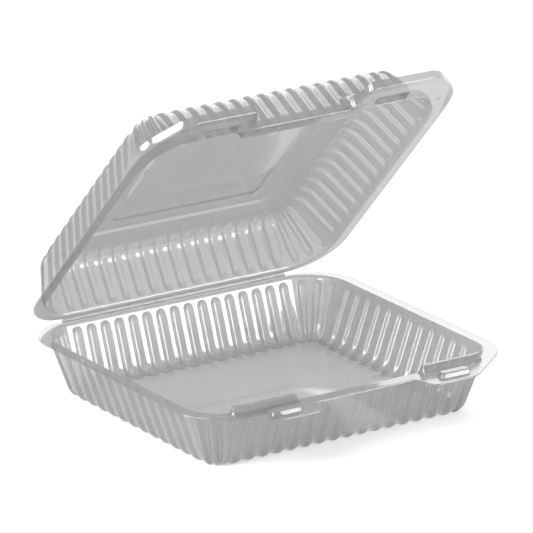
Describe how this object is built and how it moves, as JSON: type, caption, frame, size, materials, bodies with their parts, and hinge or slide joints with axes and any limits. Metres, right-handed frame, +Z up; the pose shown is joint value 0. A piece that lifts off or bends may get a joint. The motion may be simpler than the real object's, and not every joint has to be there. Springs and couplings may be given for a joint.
{
  "type": "hinged clear plastic food pack",
  "caption": "Clear thermoformed clamshell pack with a fluted tray and a hinged, fluted lid that locks at its front corners.",
  "frame": {"origin": "middle of the underside of the tray's flat floor", "axes": "+Z up, +Y towards the hinge at the back, +X along the hinge"},
  "size_m": [0.229, 0.2368, 0.2092],
  "materials": {
    "clear_plastic": "clear gloss"
  },
  "bodies": {
    "base": {"base_tray": "clear_plastic"},
    "lid": {"lid": "clear_plastic"}
  },
  "joints": [
    {"name": "lid_hinge", "type": "hinge", "parent": "base", "child": "lid", "pos_m": [0, 0.1018, 0.03845], "axis": [-1, 0, 0], "range_deg": [-46.7, 133.3]}
  ]
}
